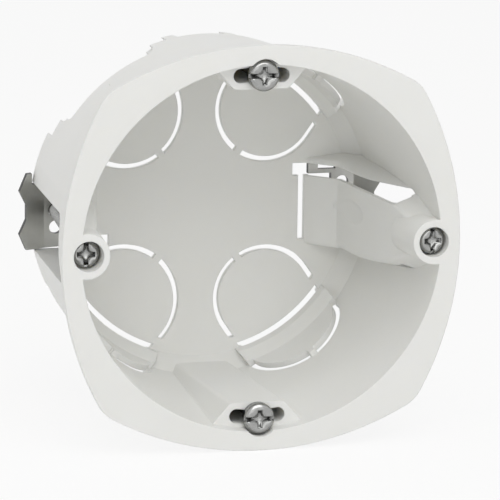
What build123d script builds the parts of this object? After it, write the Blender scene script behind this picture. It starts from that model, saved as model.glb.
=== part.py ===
"""Round flush mounting box for hollow walls, with two fixing claws and two device screws.

Millimetres. The box opens towards -Y, +Y goes into the wall and +Z is up. The origin is on the
box's axis, in the plane of the wall face that the flange's back rests against.
"""
import os
from math import atan2, degrees, hypot, radians, tan

from build123d import *

# Flange
FLANGE_HALF = 35.4            # half its width, across the flats
FLANGE_SIDE_RADIUS = 54.8     # its four sides are shallow arcs
FLANGE_CORNER_RADIUS = 6.0
FLANGE_THICKNESS = 1.2
FRONT = -FLANGE_THICKNESS     # Y of the front face

# Body
BODY_RADIUS = 33.7            # drops into a 68 mm cut-out
BODY_BACK_RADIUS = 31.3       # the wall is drafted behind a short straight collar
COLLAR_LENGTH = 6.0
MOUTH_RADIUS = 32.0
CAVITY_BACK_RADIUS = 30.1
FLOOR_INSIDE = 39.8
FLOOR_THICKNESS = 1.2
BACK = FLOOR_INSIDE + FLOOR_THICKNESS

# Knock-outs: a round tab in the floor that turns the corner and ends in a round tab in the wall
SLIT = 0.95
TAB_STEP = 1.1                # the wall tab stands in from the wall, so that the slit opens to the mould
INNER_BEVEL = (2.6, 3.6)      # the corner between floor and wall: across the floor, up the wall
OUTER_BEVEL = 4.0
FRAME_HALF_WIDTH = 13.2       # the outside corner is bevelled this far each side of a knock-out
END_BEVEL = (92, 4.3)         # and here behind the top block: degrees from +X, half width
SIDE_CENTRE = 35.3            # Y of the round end's centre in the wall
CROSS_SLIT_RADIUS = 27.1      # arc slit between the floor tab and the wall tab
BRIDGE = 1.3
OVERLAP = 0.2                 # how far a bridge runs into what it joins
KNOCK_OUTS = (                # centre X, centre Z, radius of the slit's middle line
    (-13.8, 17.3, 9.8),
    (12.0, 17.1, 9.1),
    (-14.5, -17.1, 10.0),
    (12.0, -17.3, 9.1),
)

# Device screws, 60 mm apart on the vertical centre line
DEVICE_Z = 30.0
BLOCK_HALF_WIDTH = 4.8        # of its inner face
BLOCK_SLOPE = 0.9             # how much wider each side gets per mm towards the wall
BLOCK_ROUNDING = 1.0
BLOCK_FRONT = 1.4
BLOCK_INSIDE_FRONT = 27.4     # Z of the block's flat inner face at its front and at the floor
BLOCK_INSIDE_BACK = 28.7
SLOT_HALF_WIDTH = 1.25
SLOT_HALF_ANGLE = 7.1         # degrees each side, to the centres of the slot's round ends
SLOT_DEPTH = 24.0
DEVICE_HEAD_RADIUS = 2.7
DEVICE_HEAD_HEIGHT = 1.9
DEVICE_HEAD_TOP = -0.7
DEVICE_SEAT_RADIUS = 3.0      # notch in the rim that the head drops into
DEVICE_SHANK_RADIUS = 1.2
DEVICE_SHANK_LENGTH = 18.0

# Every screw's head has a slot with a cross in its middle
HEAD_CHAMFER = 0.5
HEAD_SLOT_WIDTH = 0.85
HEAD_SLOT_DEPTH = 0.85
CROSS_LENGTH = 3.2
CROSS_WIDTH = 0.9
CROSS_DEPTH = 1.25
SHANK_CHAMFER = 0.4

# Claw screws: each leans in towards the box's axis as it goes back
CLAW_HEAD_X = 30.75
CLAW_AXIS_Y = 0.8             # Y at which the screw's axis is CLAW_HEAD_X off the box's axis
CLAW_BACK_X = 26.5
CLAW_BACK_Y = 40.8
CLAW_HEAD_RADIUS = 2.35
CLAW_HEAD_HEIGHT = 1.5
CLAW_SHANK_RADIUS = 1.35
CLAW_SHANK_TIP = 43.2         # Y that the shank reaches
LEFT_HEAD_TOP = 0.8           # the left screw is screwed right in
RIGHT_HEAD_TOP = -0.1         # the right one is a little proud of its seat
BOSS_RADIUS = 3.95
BOSS_BACK = 9.0
RECESS_X = 30.72
RECESS_RADIUS = 2.65
RECESS_FLOOR = 2.7
SCREW_BORE = 1.6

# Claw channels: a hump each side that grows out of the boss, hollow behind, open at the back and
# through the side wall. Each section gives Y, X of its face, the face's lower and upper edge, and Z
# of its two sloping sides where they reach HUMP_FOOT_X.
WALL = 0.8
CHANNEL_HALF_HEIGHT = 7.0
HUMP_FOOT_X = 36.0
HUMP_ROUNDING = 1.1
HUMP_FRONT = (
    (-1.2, 28.8, -2.4, 2.4, -6.0, 6.0),
    (5.0, 28.0, -3.6, 3.4, -7.4, 7.2),
    (12.2, 26.3, -5.9, 5.6, -9.2, 8.8),
    (17.0, 25.8, -6.8, 6.4, -9.4, 9.2),
    (21.8, 25.3, -7.4, 7.0, -9.4, 9.4),
    (28.3, 24.65, -7.8, 7.6, -9.4, 9.4),
    (34.8, 24.0, -7.9, 7.9, -9.4, 9.4),
)
HUMP_BACK = (
    HUMP_FRONT[-1],
    (39.8, 19.3, -7.9, 7.9, -9.4, 9.4),
)
LANE_X = 29.5                 # outside this the hollow follows the wall
FLOOR_WINDOW_X = 18.1         # the right hump also has a slit in the floor along its foot
WINDOW_FRONT = 9.8
WINDOW_LOW = -5.3
WINDOW_ROUNDING = 2.0
SLOT_PLAN = ((17, 42), (17, 36), (22, 30), (24, 9.4), (30, 9.4), (30, 42))
FACE_TOP = 4.7                # above this the hump's face is cut away in that plan, for the claw's arm
DENT = (24.25, 28.8, 0.8, 6.8, 2.3)   # X, Y and half sizes of the shallow dent in the hump's face
DENT_LEAN = 5.7

# Claws
CLAW_THICKNESS = 1.2
CLAW_PLANE = 41.1             # Y of the middle of the plate
CLAW_BEND_X = 28.9
CLAW_LEAN = 22.0              # degrees that the toothed end leans forward
CLAW_TOOTH_X = 33.65          # parked, the teeth stay inside the cut-out
CLAW_ARM_X = 20.2
CLAW_FOOT_X = 24.5            # clears the back of the hump's face over the whole travel
CLAW_OUTLINE = (              # X and Z round the plate: its foot, the teeth, then the hooked arm
    (CLAW_FOOT_X, -5.0), (31.2, -5.0), (31.2, -6.9), (32.2, -6.9),
    (CLAW_TOOTH_X, -3.9), (32.3, -1.35), (32.3, 1.35), (CLAW_TOOTH_X, 3.9),
    (32.3, 6.8), (28.9, 6.8), (25.3, 6.6), (25.3, 5.6), (22.0, 5.6), (22.0, 6.7),
    (CLAW_ARM_X, 6.7), (CLAW_ARM_X, 4.85), (CLAW_FOOT_X, 4.85),
)
THREAD_CLEARANCE = 0.05
SIGHT_HOLE = (26.6, 3.1, 1.2)  # X, Z and radius of the spare hole in the plate

BEYOND = 40.0                 # a radius outside everything
PAST = 1.0                    # how far a cutting shape runs past what it cuts
AXIS_SLOPE = (CLAW_BACK_X - CLAW_HEAD_X) / (CLAW_BACK_Y - CLAW_AXIS_Y)
HALF_TURN = Rotation(0, 180, 0)


def facing(y):
    """The plane at Y = y that looks towards the front, with X to the right and Z up."""
    return Plane(origin=(0, y, 0), x_dir=(1, 0, 0), z_dir=(0, -1, 0))


def prism(sketch, front, back):
    """A front-view outline made solid from Y = front to Y = back."""
    return extrude(facing(back) * sketch, back - front)


def plan_prism(points, low, high):
    """An outline in plan, given as (X, Y) points, made solid from Z = low to Z = high."""
    return extrude(Pos(0, 0, low) * make_face(Polyline(*points, close=True)), high - low)


def turned(points):
    """A half outline, given as (radius, Y) points, turned about the box's axis."""
    return revolve(make_face(Polyline(*points, close=True)), Axis.Y)


def axis_x(y):
    """X of the right claw screw's axis at Y = y."""
    return CLAW_HEAD_X + AXIS_SLOPE * (y - CLAW_AXIS_Y)


def claw_axis(y):
    """The plane square to the right claw screw's axis at Y = y, looking out of the box."""
    return Plane(origin=(axis_x(y), y, 0), x_dir=(0, 0, 1), z_dir=(-AXIS_SLOPE, -1, 0))


def wall_radius(y):
    """Outer radius of the drafted wall."""
    share = max(0.0, (y - COLLAR_LENGTH) / (BACK - COLLAR_LENGTH))
    return BODY_RADIUS + (BODY_BACK_RADIUS - BODY_RADIUS) * share


def cavity_radius(y):
    """Inner radius of the drafted wall."""
    share = (y - FRONT) / (FLOOR_INSIDE - FRONT)
    return MOUTH_RADIUS + (CAVITY_BACK_RADIUS - MOUTH_RADIUS) * share


def flange():
    reach = FLANGE_SIDE_RADIUS - FLANGE_HALF
    arc = Circle(FLANGE_SIDE_RADIUS)
    outline = Pos(reach, 0) * arc & Pos(-reach, 0) * arc & Pos(0, reach) * arc & Pos(0, -reach) * arc
    outline = fillet(outline.vertices(), FLANGE_CORNER_RADIUS)
    return prism(outline, FRONT, 0)


def body_outside():
    return turned(((0, FRONT), (BODY_RADIUS, FRONT), (BODY_RADIUS, COLLAR_LENGTH),
                   (BODY_BACK_RADIUS, BACK), (0, BACK)))


def cavity(inset=0.0):
    """The hollow of the box, smaller by inset all round."""
    across, along = INNER_BEVEL
    back = FLOOR_INSIDE - inset
    mouth, foot = MOUTH_RADIUS - inset, cavity_radius(back - along) - inset
    return turned(((0, FRONT - PAST), (mouth, FRONT - PAST), (mouth, FRONT), (foot, back - along),
                   (foot - across, back), (0, back)))


def bevel_ring():
    """What lies outside the bevelled back corner."""
    start = BACK - OUTER_BEVEL
    top = wall_radius(start)
    return turned(((top, start), (top - OUTER_BEVEL - PAST, BACK + PAST), (BEYOND, BACK + PAST),
                   (BEYOND, start)))


def radial(angle, half_width, front, back, low=20.0, high=BEYOND):
    """A slab along the direction angle, half_width each side, from Y = front to Y = back and from
    low to high off the box's axis."""
    slab = Pos((low + high) / 2, (front + back) / 2, 0) * Box(high - low, back - front, 2 * half_width)
    return Rotation(0, -angle, 0) * slab


def disc(radius, front, back):
    """A disc about the box's axis."""
    return prism(Circle(radius), front, back)


def floor_outline(x, z, radius, angle):
    """Round end of a knock-out in the floor, with legs that run straight out to the wall."""
    reach = hypot(x, z)
    legs = Rot(0, 0, angle) * Pos((reach + BEYOND) / 2, 0) * Rectangle(BEYOND - reach, 2 * radius)
    return prism(Pos(x, z) * Circle(radius) + legs, FLOOR_INSIDE - PAST, BACK + PAST)


def wall_outline(radius, angle):
    """Round end of a knock-out in the wall, with legs that run straight back to the floor."""
    end = extrude(Plane.YZ * Pos(SIDE_CENTRE, 0) * Circle(radius), BEYOND)
    return Rotation(0, -angle, 0) * end + radial(angle, radius, SIDE_CENTRE, BACK + PAST, 0)


def knock_out(x, z, radius):
    """What one knock-out cuts away, and the wall tab with its bridges that goes back in."""
    angle = degrees(atan2(z, x))
    reach = hypot(x, z)
    edge = CROSS_SLIT_RADIUS + SLIT / 2
    grown, shrunk = radius + SLIT / 2, radius - SLIT / 2
    front, back = FLOOR_INSIDE - 2 * PAST, BACK + 2 * PAST
    floor_slit = floor_outline(x, z, grown, angle) - floor_outline(x, z, shrunk, angle)
    floor_slit &= disc(CROSS_SLIT_RADIUS - SLIT / 2 - BRIDGE, front, back)
    floor_slit -= radial(angle, BRIDGE / 2, front, back, 0, reach)
    ring = disc(edge, front, back) - disc(edge - SLIT, front - PAST, back + PAST)
    cross = ring & radial(angle, radius - OVERLAP, front, back)
    outside = disc(BEYOND, 0, back) - disc(edge, -PAST, back + PAST)
    tab = (cavity() - cavity(TAB_STEP)) & wall_outline(shrunk, angle) & outside
    corner = radial(angle, grown + OVERLAP, SIDE_CENTRE, back, high=edge + BRIDGE)
    corner -= radial(angle, shrunk - OVERLAP, FRONT, back + PAST, 0)
    top = radial(angle, BRIDGE / 2, SIDE_CENTRE - radius - SLIT, SIDE_CENTRE - radius + SLIT)
    bridges = (body_outside() - cavity(TAB_STEP)) & outside & (corner + top) - bevel_ring()
    return floor_slit + cross, wall_outline(grown, angle) & outside, tab + bridges


def device_block():
    """Solid block under the top device screw, with sloping sides."""
    sections = []
    for y, inside in ((BLOCK_FRONT, BLOCK_INSIDE_FRONT), (BACK, BLOCK_INSIDE_BACK)):
        foot = BLOCK_HALF_WIDTH + BLOCK_SLOPE * (BEYOND - inside)
        outline = make_face(Polyline((-BLOCK_HALF_WIDTH, inside), (BLOCK_HALF_WIDTH, inside),
                                     (foot, BEYOND), (-foot, BEYOND), close=True))
        sections.append(facing(y) * fillet(outline.vertices().group_by(Axis.Y)[0], BLOCK_ROUNDING))
    return loft(sections, ruled=True) & body_outside()


def device_slot():
    line = CenterArc((0, 0), DEVICE_Z, 90 - SLOT_HALF_ANGLE, 2 * SLOT_HALF_ANGLE)
    band = Circle(DEVICE_Z + SLOT_HALF_WIDTH) - Circle(DEVICE_Z - SLOT_HALF_WIDTH)
    wedge = make_face(Polyline((0, 0), 2 * (line @ 0), 2 * (line @ 1), close=True))
    outline = (band & wedge) + Pos(line @ 0) * Circle(SLOT_HALF_WIDTH)
    outline += Pos(line @ 1) * Circle(SLOT_HALF_WIDTH)
    seat = prism(Pos(0, DEVICE_Z) * Circle(DEVICE_SEAT_RADIUS), FRONT - PAST, BLOCK_FRONT)
    return prism(outline, BLOCK_FRONT - PAST, BLOCK_FRONT + SLOT_DEPTH) + seat


def hump_section(section, inset=0.0):
    """Outline of the right hump at one Y, or smaller by inset and with plain corners."""
    y, face_x, low, high, foot_low, foot_high = section
    outline = make_face(Polyline((face_x + inset, low + inset), (face_x + inset, high - inset),
                                 (HUMP_FOOT_X, foot_high - inset), (HUMP_FOOT_X, foot_low + inset), close=True))
    if inset == 0:
        outline = fillet(outline.vertices().group_by(Axis.X)[0], HUMP_ROUNDING)
    return facing(y) * outline


def hump(inset=0.0):
    """The right hump, still solid. Its hollow, smaller by inset, is straight between the sections."""
    front = loft([hump_section(section, inset) for section in HUMP_FRONT], ruled=inset > 0)
    back = [hump_section(section, inset) for section in HUMP_BACK]
    foot = hump_section((BACK + PAST,) + HUMP_BACK[-1][1:], inset)
    return front + loft(back, ruled=True) + loft([back[-1], foot], ruled=True)


def pocket():
    """The right hump with the claw screw's boss in front of it."""
    boss = extrude(claw_axis(BOSS_BACK) * Circle(BOSS_RADIUS), BOSS_BACK - FRONT + PAST)
    x, y, depth, length, width = DENT
    dent = Pos(x, y, 0) * Rotation(0, 0, DENT_LEAN) * scale(Sphere(1), by=(depth, length, width))
    return ((hump() + boss) & body_outside()) - dent


def slab(low_x, high_x, front, low, high):
    """A box from Y = front out through the back."""
    points = ((low_x, front), (high_x, front), (high_x, BACK + PAST), (low_x, BACK + PAST))
    return plan_prism(points, low, high)


def channel():
    """The hollow that the right claw runs in, with its ways out at the back and the side."""
    half = CHANNEL_HALF_HEIGHT
    hollow = hump(WALL) & slab(0, LANE_X, WINDOW_FRONT, -half, half)
    hollow += slab(LANE_X - PAST, BEYOND, WINDOW_FRONT, -half, half) & cavity()
    window = slab(LANE_X - PAST, BEYOND, WINDOW_FRONT, WINDOW_LOW, half)
    window = fillet(window.edges().filter_by(Axis.X).group_by(Axis.Y)[0], WINDOW_ROUNDING)
    slot = plan_prism(SLOT_PLAN, FACE_TOP, half)
    return hollow + window + slot


def claw_screw_seat():
    recess = prism(Pos(RECESS_X, 0) * Circle(RECESS_RADIUS), FRONT - PAST, RECESS_FLOOR)
    bore = extrude(claw_axis(WINDOW_FRONT + 2 * PAST) * Circle(SCREW_BORE), WINDOW_FRONT + 2 * PAST - FRONT)
    return recess + bore


def mounting_box():
    outside = body_outside()
    for x, z, _ in KNOCK_OUTS:
        outside -= bevel_ring() & radial(degrees(atan2(z, x)), FRAME_HALF_WIDTH, 0, BACK + 2 * PAST)
    angle, half_width = END_BEVEL
    behind_block = bevel_ring() & radial(angle, half_width, 0, BACK + 2 * PAST)
    outside -= behind_block + HALF_TURN * behind_block
    box = flange() + outside - cavity()
    for x, z, radius in KNOCK_OUTS:
        slits, opening, tab = knock_out(x, z, radius)
        box = box - opening - slits + tab
    inside = device_block() + HALF_TURN * device_block() + pocket() + HALF_TURN * pocket()
    box += inside & outside
    for cut in (device_slot(), channel(), claw_screw_seat()):
        box -= cut
        box -= HALF_TURN * cut
    half = CHANNEL_HALF_HEIGHT
    return box - slab(FLOOR_WINDOW_X, HUMP_BACK[-1][1], FLOOR_INSIDE - PAST / 2, -half, half)


def head_recess(radius):
    """Slot across the head and a deeper cross in its middle, cut down from Z = 0."""
    slot = Pos(0, 0, -HEAD_SLOT_DEPTH / 2) * Box(2 * radius + PAST, HEAD_SLOT_WIDTH, HEAD_SLOT_DEPTH)
    arm = Pos(0, 0, -CROSS_DEPTH / 2) * Box(CROSS_LENGTH, CROSS_WIDTH, CROSS_DEPTH)
    return slot + arm + Rot(0, 0, 90) * arm


def screw(head_radius, head_height, shank_radius, length):
    """A pan-head screw on Z: the head's top is at Z = 0 and the shank points down."""
    head = Pos(0, 0, -head_height / 2) * Cylinder(head_radius, head_height)
    head = chamfer(head.edges().group_by(Axis.Z)[-1], HEAD_CHAMFER)
    shank = Pos(0, 0, -head_height - length / 2) * Cylinder(shank_radius, length)
    shank = chamfer(shank.edges().group_by(Axis.Z)[0], SHANK_CHAMFER)
    return head - head_recess(head_radius) + shank


def device_screw():
    part = screw(DEVICE_HEAD_RADIUS, DEVICE_HEAD_HEIGHT, DEVICE_SHANK_RADIUS, DEVICE_SHANK_LENGTH)
    return Plane(origin=(0, DEVICE_HEAD_TOP, DEVICE_Z), x_dir=(1, 0, 0), z_dir=(0, -1, 0)) * part


def claw_screw(head_top):
    slant = hypot(1, AXIS_SLOPE)
    length = (CLAW_SHANK_TIP - head_top) * slant - CLAW_HEAD_HEIGHT
    return claw_axis(head_top) * screw(CLAW_HEAD_RADIUS, CLAW_HEAD_HEIGHT, CLAW_SHANK_RADIUS, length)


def claw():
    """The right claw: a plate with an arm at its inner end and two teeth at its outer end."""
    half = CLAW_THICKNESS / 2
    reach = CLAW_TOOTH_X + PAST - CLAW_BEND_X
    line = Polyline((CLAW_ARM_X - PAST, CLAW_PLANE), (CLAW_BEND_X, CLAW_PLANE),
                    (CLAW_BEND_X + reach, CLAW_PLANE - reach * tan(radians(CLAW_LEAN))))
    strip = extrude(make_face(offset(line, half, side=Side.BOTH)), CLAW_PLANE, both=True)
    plate = prism(make_face(Polyline(*CLAW_OUTLINE, close=True)), 0, BACK + 3 * PAST) & strip
    hole_x, hole_z, hole_radius = SIGHT_HOLE
    plate -= prism(Pos(hole_x, hole_z) * Circle(hole_radius), 0, BACK + 3 * PAST)
    thread = Circle(CLAW_SHANK_RADIUS + THREAD_CLEARANCE)
    plate -= extrude(claw_axis(CLAW_PLANE + 3 * PAST) * thread, 6 * PAST)
    return plate


os.makedirs("parts", exist_ok=True)
nodes = {
    "mounting_box": mounting_box(),
    "claw_right": claw(),
    "claw_left": HALF_TURN * claw(),
    "claw_screw_right": claw_screw(RIGHT_HEAD_TOP),
    "claw_screw_left": HALF_TURN * claw_screw(LEFT_HEAD_TOP),
    "device_screw_top": device_screw(),
    "device_screw_bottom": HALF_TURN * device_screw(),
}
for name, shape in nodes.items():
    solids = shape.solids()
    export_step(solids[0] if len(solids) == 1 else Compound(solids), f"parts/{name}.step")
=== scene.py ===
"""Flush mounting box for hollow walls: the looks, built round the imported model."""
import math

import bmesh
import bpy
from mathutils import Matrix, Vector


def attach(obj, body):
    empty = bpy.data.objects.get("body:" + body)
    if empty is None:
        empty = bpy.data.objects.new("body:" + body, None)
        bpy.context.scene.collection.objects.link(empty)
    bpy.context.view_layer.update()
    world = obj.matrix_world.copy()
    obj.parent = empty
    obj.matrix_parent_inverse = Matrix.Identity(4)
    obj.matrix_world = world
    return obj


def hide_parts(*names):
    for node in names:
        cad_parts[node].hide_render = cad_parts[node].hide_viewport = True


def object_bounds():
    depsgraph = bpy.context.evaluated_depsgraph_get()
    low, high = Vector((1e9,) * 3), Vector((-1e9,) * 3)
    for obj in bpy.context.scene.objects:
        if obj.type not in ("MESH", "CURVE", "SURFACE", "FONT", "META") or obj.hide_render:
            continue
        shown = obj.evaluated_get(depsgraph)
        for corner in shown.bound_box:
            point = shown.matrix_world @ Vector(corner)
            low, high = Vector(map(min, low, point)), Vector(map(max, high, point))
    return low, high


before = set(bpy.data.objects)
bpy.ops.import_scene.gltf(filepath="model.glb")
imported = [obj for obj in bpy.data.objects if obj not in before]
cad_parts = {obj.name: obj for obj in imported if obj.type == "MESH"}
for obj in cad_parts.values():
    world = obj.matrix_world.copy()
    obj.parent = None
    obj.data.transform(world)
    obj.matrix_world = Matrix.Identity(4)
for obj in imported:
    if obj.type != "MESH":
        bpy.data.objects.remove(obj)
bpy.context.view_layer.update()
MM = 0.001

# The mounting box: one shell of light grey polypropylene, injection moulded in a two-part tool. Its
# knock-outs hang on thin bridges, and the wall's cut-out holds it behind the flange.
PLASTIC_COLOUR = "F1F1EF"
PLASTIC_TINT = "EDEDE9"       # where the melt cooled last
FLOW_MM = 18.0                # soft clouds that the melt leaves as it spreads
GRAIN_MM = 0.35               # the tool's spark-eroded grain, drawn this coarse so that it shows
GRAIN_DEPTH_MM = 0.02
GRAIN_STRENGTH = 0.12
PLASTIC_ROUGHNESS = (0.42, 0.56)
PLASTIC_IOR = 1.49
SKIN_SHARE = 0.25             # how much of the light spreads in the skin
SKIN_MM = 1.2                 # and how far, with less of the blue
SKIN_TINT = (1.0, 0.95, 0.85)
EDGE_MM = 0.2                 # the small radius that every moulded edge has


def linear(hex_colour):
    """An sRGB hex colour as linear red, green, blue and a full alpha."""
    channels = [int(hex_colour[i:i + 2], 16) / 255 for i in (0, 2, 4)]
    low = [c / 12.92 for c in channels]
    high = [((c + 0.055) / 1.055) ** 2.4 for c in channels]
    return tuple(a if c <= 0.04045 else b for c, a, b in zip(channels, low, high)) + (1.0,)


def add(tree, kind, settings=None, **inputs):
    """Adds a node, sets its properties, then sets its inputs to values or links them to sockets. An
    input goes by its name, or by its number after an underscore."""
    node = tree.nodes.new(kind)
    for name, value in (settings or {}).items():
        setattr(node, name, value)
    for name, value in inputs.items():
        socket = node.inputs[int(name[1:])] if name[1:].isdigit() else node.inputs[name.replace("_", " ")]
        if isinstance(value, bpy.types.NodeSocket):
            tree.links.new(value, socket)
        else:
            socket.default_value = value
    return node


def new_material(name):
    """An empty material with its output node, as material, tree and output."""
    material = bpy.data.materials.new(name)
    material.use_nodes = True
    material.node_tree.nodes.clear()
    return material, material.node_tree, material.node_tree.nodes.new("ShaderNodeOutputMaterial")


def moulded_polypropylene():
    """Semi-matt from the tool's fine grain, softened by light that enters the skin and spreads."""
    material, tree, output = new_material("moulded_polypropylene")
    place = add(tree, "ShaderNodeTexCoord").outputs["Object"]
    flow = add(tree, "ShaderNodeTexNoise", Vector=place, Scale=1 / (FLOW_MM * MM), Detail=2.0)
    grain = add(tree, "ShaderNodeTexNoise", Vector=place, Scale=1 / (GRAIN_MM * MM), Detail=3.0,
                Roughness=0.6)
    colour = add(tree, "ShaderNodeMix", {"data_type": "RGBA"}, _0=flow.outputs["Fac"],
                 _6=linear(PLASTIC_COLOUR), _7=linear(PLASTIC_TINT))
    rough = add(tree, "ShaderNodeMapRange", Value=grain.outputs["Fac"], To_Min=PLASTIC_ROUGHNESS[0],
                To_Max=PLASTIC_ROUGHNESS[1])
    edge = add(tree, "ShaderNodeBevel", {"samples": 4}, Radius=EDGE_MM * MM)
    bump = add(tree, "ShaderNodeBump", Strength=GRAIN_STRENGTH, Distance=GRAIN_DEPTH_MM * MM,
               Height=grain.outputs["Fac"], Normal=edge.outputs["Normal"])
    shader = add(tree, "ShaderNodeBsdfPrincipled", Base_Color=colour.outputs[2],
                 Roughness=rough.outputs["Result"], IOR=PLASTIC_IOR, Subsurface_Weight=SKIN_SHARE,
                 Subsurface_Radius=SKIN_TINT, Subsurface_Scale=SKIN_MM * MM,
                 Normal=bump.outputs["Normal"])
    tree.links.new(shader.outputs["BSDF"], output.inputs["Surface"])
    return material


def finish_node(node, material):
    """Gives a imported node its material."""
    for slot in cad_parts[node].material_slots:
        slot.material = material


finish_node("mounting_box", moulded_polypropylene())

# The claws: two stamped plates of hard steel strip, 1.2 mm thick, bent once and left in the grey
# phosphate that keeps rust off. Each is tapped and hangs on its own screw at the back of the box.
PHOSPHATE_COLOUR = "D0D0CC"
PHOSPHATE_DARK = "B6B6B2"
CRYSTAL_MM = 3.5              # patches where the crystals grew finer or coarser
EDGE_PAINTED_SHADE = "2E2E2D"       # painted shade: the plate's cut edges are coloured nearly black
EDGE_SHADE_TO_FACE = (0.5, 0.8)     # how far a face looks along Y, from all painted edge shade to all rolled face
ROLL_MM = 0.6                 # drawing lines of the rolled strip
ROLL_SQUEEZE = 0.08           # their width for their length
ROLL_DEPTH_MM = 0.02
ROLL_STRENGTH = 0.15
STEEL_ROUGHNESS = (0.34, 0.5)


def phosphated_steel():
    """Grey and silky on the rolled faces, with faint rolling lines, and a painted shade that colours the
    sideways-facing sheared edges nearly black.
    """
    material, tree, output = new_material("phosphated_steel")
    place = add(tree, "ShaderNodeTexCoord").outputs["Object"]
    stretched = add(tree, "ShaderNodeMapping", Vector=place, Scale=(1.0, 1.0, ROLL_SQUEEZE))
    lines = add(tree, "ShaderNodeTexNoise", Vector=stretched.outputs["Vector"], Scale=1 / (ROLL_MM * MM),
                Detail=3.0)
    cloud = add(tree, "ShaderNodeTexNoise", Vector=place, Scale=1 / (CRYSTAL_MM * MM), Detail=4.0)
    rolled = add(tree, "ShaderNodeMix", {"data_type": "RGBA"}, _0=cloud.outputs["Fac"],
                 _6=linear(PHOSPHATE_COLOUR), _7=linear(PHOSPHATE_DARK))
    # painted shade: faces that look away from Y, as the cut edges do, are coloured nearly black
    normal = add(tree, "ShaderNodeSeparateXYZ", Vector=add(tree, "ShaderNodeNewGeometry").outputs["Normal"])
    flat = add(tree, "ShaderNodeMath", {"operation": "ABSOLUTE"}, _0=normal.outputs["Y"])
    out_of_edge_shade = add(tree, "ShaderNodeMapRange", Value=flat.outputs[0], From_Min=EDGE_SHADE_TO_FACE[0],
               From_Max=EDGE_SHADE_TO_FACE[1])
    colour = add(tree, "ShaderNodeMix", {"data_type": "RGBA"}, _0=out_of_edge_shade.outputs["Result"],
                 _6=linear(EDGE_PAINTED_SHADE), _7=rolled.outputs[2])
    rough = add(tree, "ShaderNodeMapRange", Value=lines.outputs["Fac"], To_Min=STEEL_ROUGHNESS[0],
                To_Max=STEEL_ROUGHNESS[1])
    bump = add(tree, "ShaderNodeBump", Strength=ROLL_STRENGTH, Distance=ROLL_DEPTH_MM * MM,
               Height=lines.outputs["Fac"])
    shader = add(tree, "ShaderNodeBsdfPrincipled", Base_Color=colour.outputs[2], Metallic=1.0,
                 Roughness=rough.outputs["Result"], Normal=bump.outputs["Normal"])
    tree.links.new(shader.outputs["BSDF"], output.inputs["Surface"])
    return material


steel_strip = phosphated_steel()
for node in ("claw_left", "claw_right"):
    finish_node(node, steel_strip)

# The four screws: cold-headed steel with rolled threads and bright zinc plate. Two turn in the bosses
# and draw the claws forward, and two sit in the arc slots and hold the switch or socket.
CLAW_SCREW = {"Head": 1.5, "Shank": 1.35,
              "Thread": {"Length": 39.0, "Root Radius": 1.08, "Pitch": 0.7, "Height": 0.27}}
CLAW_SCREW_FRONT = (30.75, 0.8)   # out from the middle and back from the flange, in millimetres
CLAW_SCREW_BACK = (26.5, 40.8)
HEAD_TOPS = {"right": -0.1, "left": 0.8}
DEVICE_SCREW = {"Head": 1.9, "Shank": 1.2,
                "Thread": {"Length": 16.0, "Root Radius": 0.94, "Pitch": 1.1, "Height": 0.26}}
DEVICE_SPACING = 60.0
DEVICE_HEAD_TOP = -0.7
DEVICE_TIP = 19.2
PLAIN_MM = 0.8                # the thread starts this far under the head
TURN_STEPS = 24
RIDGE_SIDES = 4
WELD_MM = 0.001               # packed faces don't share their corners until they are welded
NEAR_HEAD_MM = 0.01           # these two find the shank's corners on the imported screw
NEAR_SHANK_MM = 0.05
SHARP_DEGREES = 35            # a steeper fold than this stays a hard edge
ZINC_COLOUR = "B6B6B4"
ZINC_CLOUD = "979897"
CLOUD_MM = 1.5
ZINC_PAINTED_SHADE = "1E1E1D"        # painted shade: the colour drawn down in the recesses, where the light doesn't reach
SHADE_REACH_MM = 0.7               # how far from a hollow's walls the painted shade reaches
SHADE_TO_OPEN = (0.5, 0.95)
ZINC_ROUGHNESS = (0.14, 0.26)
RIM_MM = 0.06                 # the rounding that heading and plating leave on every edge


def bright_zinc():
    """Mirror-like with a faint cloud, as thin electroplate on smooth steel is, with painted shade darkening
    its hollows.
    """
    material, tree, output = new_material("bright_zinc_plate")
    place = add(tree, "ShaderNodeTexCoord").outputs["Object"]
    cloud = add(tree, "ShaderNodeTexNoise", Vector=place, Scale=1 / (CLOUD_MM * MM), Detail=3.0)
    plate = add(tree, "ShaderNodeMix", {"data_type": "RGBA"}, _0=cloud.outputs["Fac"],
                _6=linear(ZINC_COLOUR), _7=linear(ZINC_CLOUD))
    # painted shade: ambient occlusion darkens the plate's colour in the screws' recesses
    recess_occlusion = add(tree, "ShaderNodeAmbientOcclusion", {"samples": 8, "only_local": True},
                    Distance=SHADE_REACH_MM * MM)
    out_of_painted_shade = add(tree, "ShaderNodeMapRange", Value=recess_occlusion.outputs["AO"], From_Min=SHADE_TO_OPEN[0],
                 From_Max=SHADE_TO_OPEN[1])
    colour = add(tree, "ShaderNodeMix", {"data_type": "RGBA"}, _0=out_of_painted_shade.outputs["Result"],
                 _6=linear(ZINC_PAINTED_SHADE), _7=plate.outputs[2])
    rough = add(tree, "ShaderNodeMapRange", Value=cloud.outputs["Fac"], To_Min=ZINC_ROUGHNESS[0],
                To_Max=ZINC_ROUGHNESS[1])
    edge = add(tree, "ShaderNodeBevel", {"samples": 6}, Radius=RIM_MM * MM)
    shader = add(tree, "ShaderNodeBsdfPrincipled", Base_Color=colour.outputs[2], Metallic=1.0,
                 Roughness=rough.outputs["Result"], Normal=edge.outputs["Normal"])
    tree.links.new(shader.outputs["BSDF"], output.inputs["Surface"])
    return material


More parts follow.
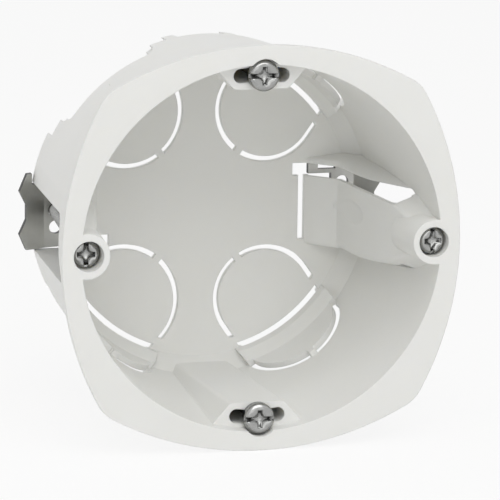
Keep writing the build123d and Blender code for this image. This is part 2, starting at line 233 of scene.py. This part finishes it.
def rolled_thread(material):
    """A tree that winds a ridge of diamond section round Z, fading out over a turn at each end."""
    tree = bpy.data.node_groups.new("rolled_thread", "GeometryNodeTree")
    for name in ("Length", "Root Radius", "Pitch", "Height"):
        tree.interface.new_socket(name, in_out="INPUT", socket_type="NodeSocketFloat")
    tree.interface.new_socket("Thread", in_out="OUTPUT", socket_type="NodeSocketGeometry")
    sizes = tree.nodes.new("NodeGroupInput").outputs
    turns = add(tree, "ShaderNodeMath", {"operation": "DIVIDE"}, _0=sizes["Length"], _1=sizes["Pitch"])
    helix = add(tree, "GeometryNodeCurveSpiral", Resolution=TURN_STEPS, Rotations=turns.outputs[0],
                Start_Radius=sizes["Root Radius"], End_Radius=sizes["Root Radius"], Height=sizes["Length"])
    upright = add(tree, "GeometryNodeSetCurveNormal", {"mode": "Z_UP"}, Curve=helix.outputs[0])
    along = add(tree, "GeometryNodeSplineParameter").outputs["Factor"]
    from_end = add(tree, "ShaderNodeMath", {"operation": "PINGPONG"}, _0=along, _1=0.5)
    fade = add(tree, "ShaderNodeMath", {"operation": "MULTIPLY", "use_clamp": True},
               _0=from_end.outputs[0], _1=turns.outputs[0])
    ridge = add(tree, "GeometryNodeSetCurveRadius", Curve=upright.outputs[0], Radius=fade.outputs[0])
    section = add(tree, "GeometryNodeCurvePrimitiveCircle", Resolution=RIDGE_SIDES, Radius=sizes["Height"])
    solid = add(tree, "GeometryNodeCurveToMesh", Curve=ridge.outputs[0], Profile_Curve=section.outputs[0],
                Fill_Caps=True)
    real = add(tree, "GeometryNodeRealizeInstances", Geometry=solid.outputs[0])
    plated = add(tree, "GeometryNodeSetMaterial", Geometry=real.outputs[0], Material=material)
    out = tree.nodes.new("NodeGroupOutput")
    tree.links.new(plated.outputs[0], out.inputs["Thread"])
    return tree


def wound_thread(tree, sizes_mm):
    """The thread as a plain mesh round Z, for the named sizes in millimetres."""
    winder = bpy.data.objects.new("thread", bpy.data.meshes.new("thread"))
    bpy.context.collection.objects.link(winder)
    modifier = winder.modifiers.new("thread", "NODES")
    modifier.node_group = tree
    for socket in tree.interface.items_tree:
        if socket.in_out == "INPUT":
            modifier[socket.identifier] = sizes_mm[socket.name] * MM
    evaluated = winder.evaluated_get(bpy.context.evaluated_depsgraph_get())
    mesh = bpy.data.meshes.new_from_object(evaluated)
    bpy.data.objects.remove(winder)
    return mesh


def threaded_screw(node, body, tip, top, screw):
    """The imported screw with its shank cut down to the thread's root, and the thread wound on it.
    Tip and top are points on its axis in millimetres, the top being that of the head."""
    head_mm, shank_mm, sizes_mm = screw["Head"], screw["Shank"], screw["Thread"]
    axis = (Vector(top) - Vector(tip)).normalized()
    top = Vector(top) * MM
    shape = bmesh.new()
    shape.from_mesh(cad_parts[node].data)
    bmesh.ops.remove_doubles(shape, verts=shape.verts, dist=WELD_MM * MM)
    for vertex in shape.verts:
        depth = (top - vertex.co).dot(axis)
        centre = top - axis * depth
        below_head = depth > (head_mm - NEAR_HEAD_MM) * MM
        if below_head and (vertex.co - centre).length < (shank_mm + NEAR_SHANK_MM) * MM:
            vertex.co = centre + (vertex.co - centre) * (sizes_mm["Root Radius"] / shank_mm)
    thread = wound_thread(thread_tree, sizes_mm)
    start = top - axis * (head_mm + PLAIN_MM) * MM
    turn = (-axis).to_track_quat("Z", "Y").to_matrix().to_4x4()
    thread.transform(Matrix.Translation(start) @ turn)
    shape.from_mesh(thread)
    mesh = bpy.data.meshes.new(node + "_threaded")
    shape.to_mesh(mesh)
    shape.free()
    mesh.materials.clear()
    mesh.materials.append(zinc_plate)
    for polygon in mesh.polygons:
        polygon.material_index = 0
        polygon.use_smooth = True
    mesh.set_sharp_from_angle(angle=math.radians(SHARP_DEGREES))
    piece = bpy.data.objects.new(node + "_threaded", mesh)
    bpy.context.collection.objects.link(piece)
    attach(piece, body)
    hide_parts(node)


zinc_plate = bright_zinc()
thread_tree = rolled_thread(zinc_plate)
lean = (CLAW_SCREW_BACK[0] - CLAW_SCREW_FRONT[0]) / (CLAW_SCREW_BACK[1] - CLAW_SCREW_FRONT[1])
for side, word in ((1, "right"), (-1, "left")):
    out_mm = CLAW_SCREW_FRONT[0] + lean * (HEAD_TOPS[word] - CLAW_SCREW_FRONT[1])
    tip = (side * CLAW_SCREW_BACK[0], CLAW_SCREW_BACK[1], 0)
    threaded_screw(f"claw_screw_{word}", f"{word}_claw_screw", tip, (side * out_mm, HEAD_TOPS[word], 0),
                   CLAW_SCREW)
for side, word in ((1, "top"), (-1, "bottom")):
    height = side * DEVICE_SPACING / 2
    threaded_screw(f"device_screw_{word}", f"{word}_screw", (0, DEVICE_TIP, height),
                   (0, DEVICE_HEAD_TOP, height), DEVICE_SCREW)

# The studio: a pale floor under the flange, a white room and soft lamps above and in front.
low = Vector(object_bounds()[0])
FLOOR_SIZE = 3.0
FLOOR_COLOUR = "F8F8F7"
WHITE_SHARE = 0.86            # how much of the floor's white is its own, the rest takes the shadow


def white_to_the_eye(tree):
    """1 for rays that see the background, straight, mirrored or through glass, and 0 for the rest."""
    path = add(tree, "ShaderNodeLightPath")
    seen = add(tree, "ShaderNodeMath", {"operation": "ADD", "use_clamp": True},
               _0=path.outputs["Is Camera Ray"], _1=path.outputs["Is Glossy Ray"])
    return add(tree, "ShaderNodeMath", {"operation": "ADD", "use_clamp": True},
               _0=seen.outputs[0], _1=path.outputs["Is Transmission Ray"]).outputs[0]


material, tree, output = new_material("white_studio_floor")
paper = add(tree, "ShaderNodeBsdfDiffuse", Color=linear(FLOOR_COLOUR))
glow = add(tree, "ShaderNodeEmission", Color=(1, 1, 1, 1), Strength=1.0)
share = add(tree, "ShaderNodeMath", {"operation": "MULTIPLY"}, _0=white_to_the_eye(tree), _1=WHITE_SHARE)
mixed = add(tree, "ShaderNodeMixShader", _0=share.outputs[0], _1=paper.outputs[0], _2=glow.outputs[0])
tree.links.new(mixed.outputs[0], output.inputs["Surface"])
corners = [(x * FLOOR_SIZE / 2, y * FLOOR_SIZE / 2, low.z) for x, y in ((-1, -1), (1, -1), (1, 1), (-1, 1))]
mesh = bpy.data.meshes.new("studio_floor")
mesh.from_pydata(corners, [], [(0, 1, 2, 3)])
floor = bpy.data.objects.new("studio_floor", mesh)
floor.data.materials.append(material)
bpy.context.collection.objects.link(floor)

ROOM_LIGHT = 0.44
world = bpy.data.worlds.new("studio")
world.use_nodes = True
bpy.context.scene.world = world
tree = world.node_tree
tree.nodes.clear()
strength = add(tree, "ShaderNodeMapRange", Value=white_to_the_eye(tree), To_Min=ROOM_LIGHT, To_Max=1.0)
room = add(tree, "ShaderNodeBackground", Color=(1, 1, 1, 1), Strength=strength.outputs["Result"])
sky = tree.nodes.new("ShaderNodeOutputWorld")
tree.links.new(room.outputs[0], sky.inputs["Surface"])

LAMPS = (                     # name, place in metres, size in metres, watts
    ("key_softbox", (0.0, -0.60, 0.85), 0.9, 4.7),
    ("front_softbox", (-0.15, -0.95, 0.40), 0.9, 1.3),
    ("side_softbox", (-0.9, 0.35, 0.30), 0.7, 1.2),
)
for name, place, size, watts in LAMPS:
    lamp = bpy.data.lights.new(name, "AREA")
    lamp.size = size
    lamp.energy = watts
    holder = bpy.data.objects.new(name, lamp)
    holder.location = place
    holder.rotation_euler = (-Vector(place)).to_track_quat("-Z", "Y").to_euler()
    bpy.context.collection.objects.link(holder)

# The camera: a long lens in front, a little left of the box's axis and above it.
AZIMUTH, ELEVATION, ROLL = -15.87, 11.51, 0.80
DISTANCE_MM = 800.0
LENS_MM = 336.35
SENSOR_MM = 36.0
AIM_MM = (-2.30, -0.07)       # how far right and up of the flange's centre the camera is aimed
NEAREST = 0.01                # in metres, what is nearer isn't drawn
turn, rise, roll = (math.radians(a) for a in (AZIMUTH, ELEVATION, ROLL))
back = Vector((math.sin(turn) * math.cos(rise), -math.cos(turn) * math.cos(rise), math.sin(rise)))
level = (-back).cross(Vector((0, 0, 1))).normalized()
upright = level.cross(-back)
right = level * math.cos(roll) + upright * math.sin(roll)
up = upright * math.cos(roll) - level * math.sin(roll)
front_centre = Vector((0, low.y, 0))
eye = front_centre + (back * DISTANCE_MM + right * AIM_MM[0] + up * AIM_MM[1]) * MM
camera = bpy.data.cameras.new("camera")
camera.lens = LENS_MM
camera.sensor_width = SENSOR_MM
camera.clip_start = NEAREST
viewer = bpy.data.objects.new("camera", camera)
viewer.matrix_world = Matrix.Translation(eye) @ Matrix((right, up, back)).transposed().to_4x4()
bpy.context.collection.objects.link(viewer)
bpy.context.scene.camera = viewer
bpy.context.scene.view_settings.view_transform = "Standard"
